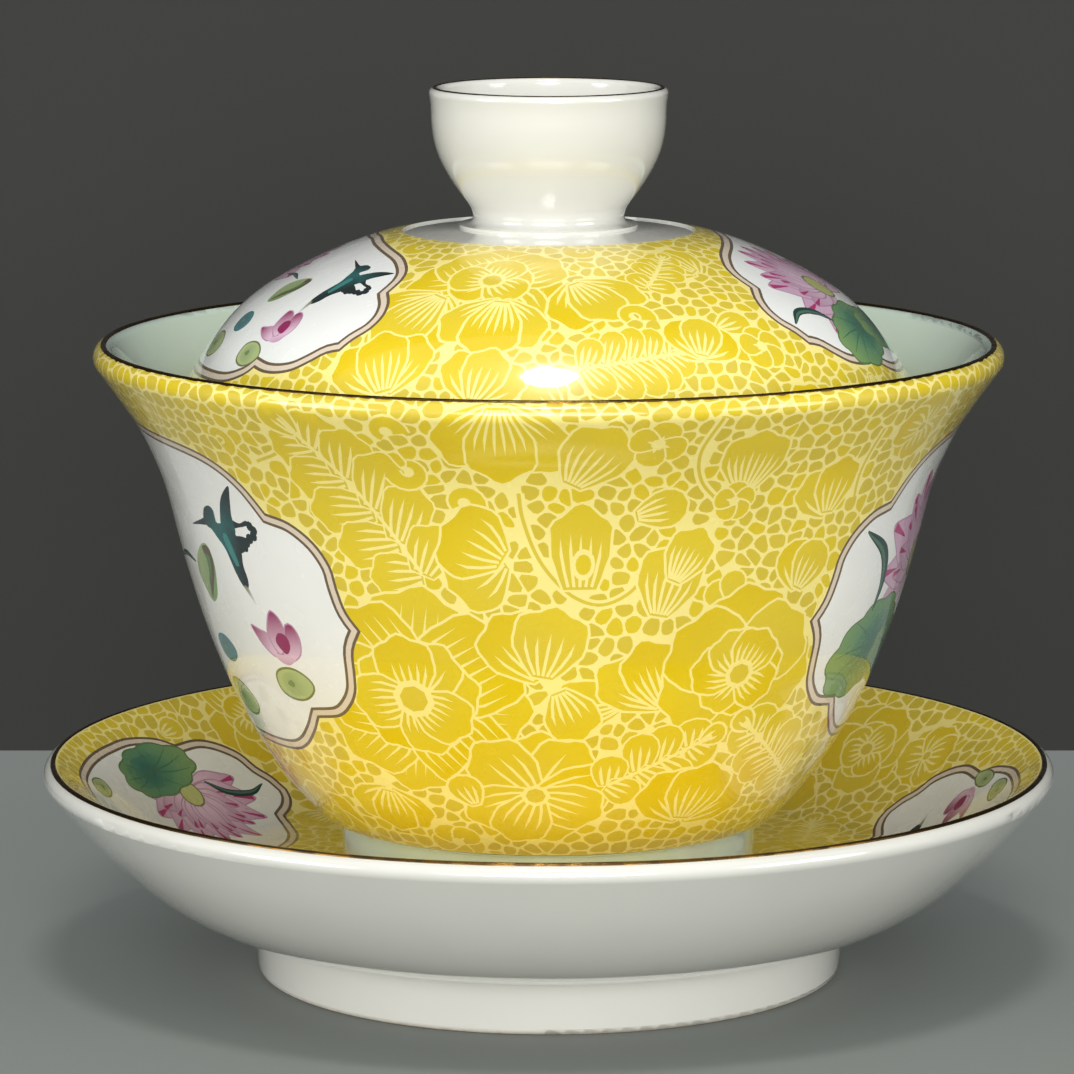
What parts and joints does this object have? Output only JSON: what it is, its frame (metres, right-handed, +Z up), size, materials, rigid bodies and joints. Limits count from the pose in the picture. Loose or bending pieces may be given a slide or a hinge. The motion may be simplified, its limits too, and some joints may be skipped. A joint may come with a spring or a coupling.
{
  "type": "gaiwan",
  "caption": "Lidded porcelain tea bowl on a footed saucer, with a hollow cup-shaped knob on the domed lid and gilded edges.",
  "frame": {"origin": "centre of the saucer's foot ring, on the surface that it stands on", "axes": "+Z up along the axis that all the pieces share, -Y towards the viewer in the view that shows a panel on each side"},
  "size_m": [0.1138, 0.1138, 0.0998],
  "materials": {
    "porcelain": "glossy clear glaze on white porcelain",
    "yellow_enamel": "glossy overglaze enamel, yellow ground with a pale line pattern and white painted panels",
    "gilding": "thin fired gold, darkened by handling"
  },
  "bodies": {
    "saucer": {"saucer": "porcelain", "saucer_enamel": "yellow_enamel", "saucer_gilt_rim": "gilding"},
    "bowl": {"bowl": "porcelain", "bowl_enamel": "yellow_enamel", "bowl_gilt_rim": "gilding", "bowl_foot_line": "gilding"},
    "lid": {"lid": "porcelain", "lid_enamel": "yellow_enamel", "lid_gilt_rim": "gilding", "lid_knob": "porcelain", "knob_gilt_rim": "gilding"}
  },
  "joints": [
    {"name": "bowl_lift", "type": "slide", "parent": "saucer", "child": "bowl", "axis": [0, 0, 1], "range_m": [0, 0.06]},
    {"name": "lid_lift", "type": "slide", "parent": "bowl", "child": "lid", "axis": [0, 0, 1], "range_m": [0, 0.06]}
  ]
}
